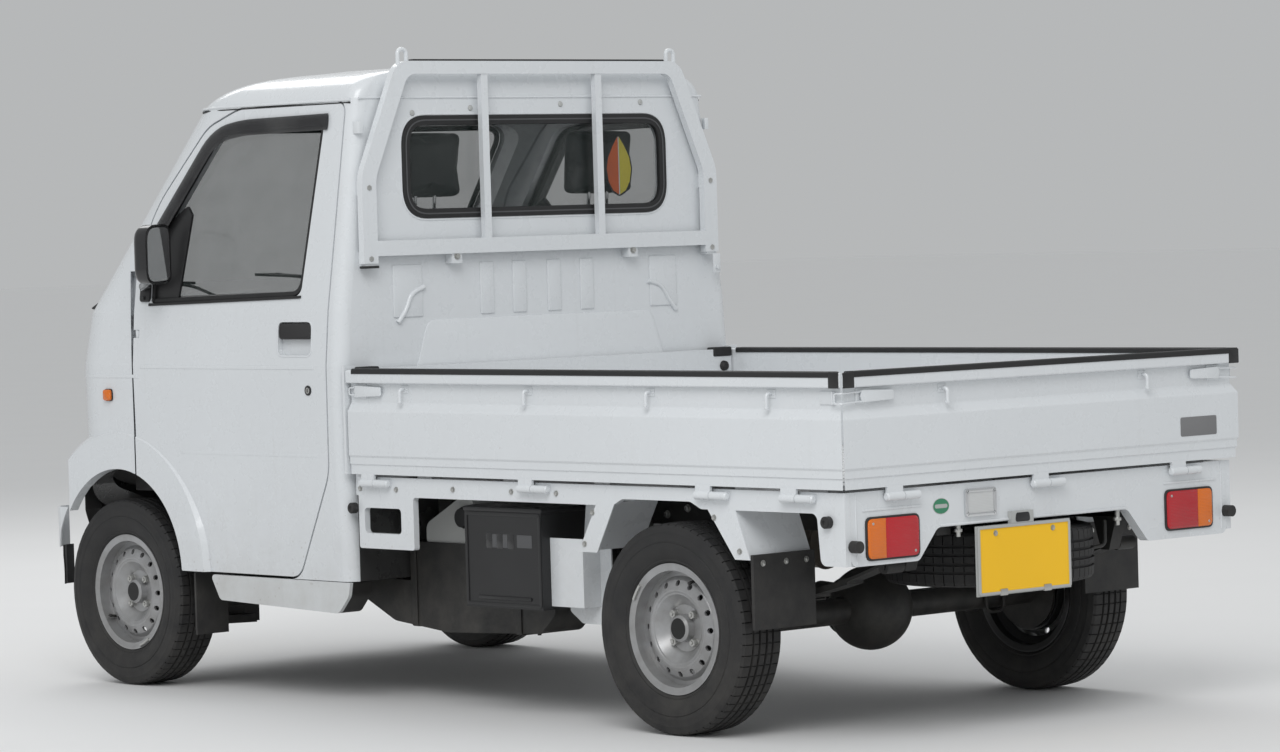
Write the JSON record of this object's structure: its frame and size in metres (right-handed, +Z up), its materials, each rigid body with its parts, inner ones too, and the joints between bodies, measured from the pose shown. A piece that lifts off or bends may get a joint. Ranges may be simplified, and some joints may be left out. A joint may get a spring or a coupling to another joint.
{
  "type": "kei truck",
  "caption": "small cab-over light truck with a drop-side bed, opening doors, folding gates, steered front wheels and a guard frame behind the cab",
  "frame": {"origin": "on the ground, at the middle of the truck's length and width", "axes": "X forward, Y to the vehicle's left, Z up; wheels turn about Y"},
  "size_m": [3.3889, 1.7186, 1.8059],
  "materials": {
    "white_paint": "gloss white paint",
    "white_plastic": "painted plastic",
    "pale_plastic": "pale moulded plastic",
    "clear_glass": "clear glass",
    "red_lens": "moulded lens",
    "plate_yellow": "yellow enamel",
    "wheel_silver": "silver paint",
    "tyre_rubber": "black rubber",
    "black_rubber": "black rubber",
    "black_plastic": "grained black plastic",
    "grey_plastic": "grained grey plastic",
    "seat_cloth": "dark grey seat covering",
    "black_steel": "black chassis paint",
    "engine_metal": "bare casting",
    "exhaust_steel": "dull steel"
  },
  "bodies": {
    "root": {"chassis_frame": "black_steel", "engine": "engine_metal", "front_suspension": "black_steel", "rear_axle": "black_steel", "leaf_springs": "black_steel", "propeller_shaft": "black_steel", "exhaust": "exhaust_steel", "fuel_tank": "black_steel", "battery_box": "black_plastic", "spare_wheel": "tyre_rubber", "cab_floor": "white_paint", "cab_front_panel": "white_paint", "cab_rear_panel": "white_paint", "cab_roof": "white_paint", "windscreen": "clear_glass", "rear_window": "clear_glass", "headlamps": "clear_glass", "front_bumper": "white_plastic", "dashboard": "grey_plastic", "seats": "seat_cloth", "steering_column": "black_plastic", "guard_frame": "white_paint", "bed_floor": "white_paint", "bed_front_board": "white_paint", "bed_side_sills": "white_paint", "rear_panel": "white_paint", "tail_lamps": "red_lens", "reversing_lamp": "clear_glass", "number_plate": "plate_yellow", "rubber_stops": "black_rubber", "mud_flaps": "black_rubber", "filler_box": "pale_plastic", "splash_panel": "white_paint"},
    "steering_wheel": {"steering_wheel": "black_plastic"},
    "steering_rack": {"steering_rack": "black_steel"},
    "left_knuckle": {"left_knuckle": "black_steel"},
    "left_door": {"left_door": "white_paint", "left_door_glass": "clear_glass", "left_mirror": "black_plastic"},
    "left_gate": {"left_gate": "white_paint"},
    "front_left": {"front_left_wheel": "wheel_silver", "front_left_tyre": "tyre_rubber"},
    "rear_left": {"rear_left_wheel": "wheel_silver", "rear_left_tyre": "tyre_rubber"},
    "right_knuckle": {"right_knuckle": "black_steel"},
    "right_door": {"right_door": "white_paint", "right_door_glass": "clear_glass", "right_mirror": "black_plastic"},
    "right_gate": {"right_gate": "white_paint"},
    "front_right": {"front_right_wheel": "wheel_silver", "front_right_tyre": "tyre_rubber"},
    "rear_right": {"rear_right_wheel": "wheel_silver", "rear_right_tyre": "tyre_rubber"},
    "tailgate": {"tailgate": "white_paint"}
  },
  "joints": [
    {"name": "steering", "type": "hinge", "parent": "root", "child": "steering_wheel", "pos_m": [1.095, -0.34, 1.06], "axis": [-0.6, 0, 0.8], "range_deg": [-560, 560]},
    {"name": "rack_slide", "type": "slide", "parent": "root", "child": "steering_rack", "axis": [0, 1, 0], "range_m": [-0.071, 0.071]},
    {"name": "left_steer", "type": "hinge", "parent": "root", "child": "left_knuckle", "pos_m": [1.322, 0.585, 0.271], "axis": [0, -0.1736, 0.9848], "range_deg": [-35.5, 35.5]},
    {"name": "front_left_roll", "type": "hinge", "parent": "left_knuckle", "child": "front_left", "pos_m": [1.322, 0.648, 0.271], "axis": [0, 1, 0], "continuous": true},
    {"name": "rear_left_roll", "type": "hinge", "parent": "root", "child": "rear_left", "pos_m": [-1.028, 0.648, 0.271], "axis": [0, 1, 0], "continuous": true},
    {"name": "left_door_hinge", "type": "hinge", "parent": "root", "child": "left_door", "pos_m": [1.208, 0.722, 0.8], "axis": [0, 0, -1], "range_deg": [0, 65]},
    {"name": "left_gate_hinge", "type": "hinge", "parent": "root", "child": "left_gate", "pos_m": [-0.7, 0.7255, 0.616], "axis": [-1, 0, 0], "range_deg": [0, 165]},
    {"name": "right_steer", "type": "hinge", "parent": "root", "child": "right_knuckle", "pos_m": [1.322, -0.585, 0.271], "axis": [0, 0.1736, 0.9848], "range_deg": [-35.5, 35.5]},
    {"name": "front_right_roll", "type": "hinge", "parent": "right_knuckle", "child": "front_right", "pos_m": [1.322, -0.648, 0.271], "axis": [0, 1, 0], "continuous": true},
    {"name": "rear_right_roll", "type": "hinge", "parent": "root", "child": "rear_right", "pos_m": [-1.028, -0.648, 0.271], "axis": [0, 1, 0], "continuous": true},
    {"name": "right_door_hinge", "type": "hinge", "parent": "root", "child": "right_door", "pos_m": [1.208, -0.722, 0.8], "axis": [0, 0, 1], "range_deg": [0, 65]},
    {"name": "right_gate_hinge", "type": "hinge", "parent": "root", "child": "right_gate", "pos_m": [-0.7, -0.7255, 0.616], "axis": [1, 0, 0], "range_deg": [0, 165]},
    {"name": "tailgate_hinge", "type": "hinge", "parent": "root", "child": "tailgate", "pos_m": [-1.678, 0, 0.616], "axis": [0, -1, 0], "range_deg": [0, 165]}
  ],
  "couplings": [
    {"joint": "rack_slide", "follows": "steering", "m_per_rad": -0.007188},
    {"joint": "left_steer", "follows": "steering", "ratio": 0.0625},
    {"joint": "right_steer", "follows": "steering", "ratio": 0.0625}
  ]
}
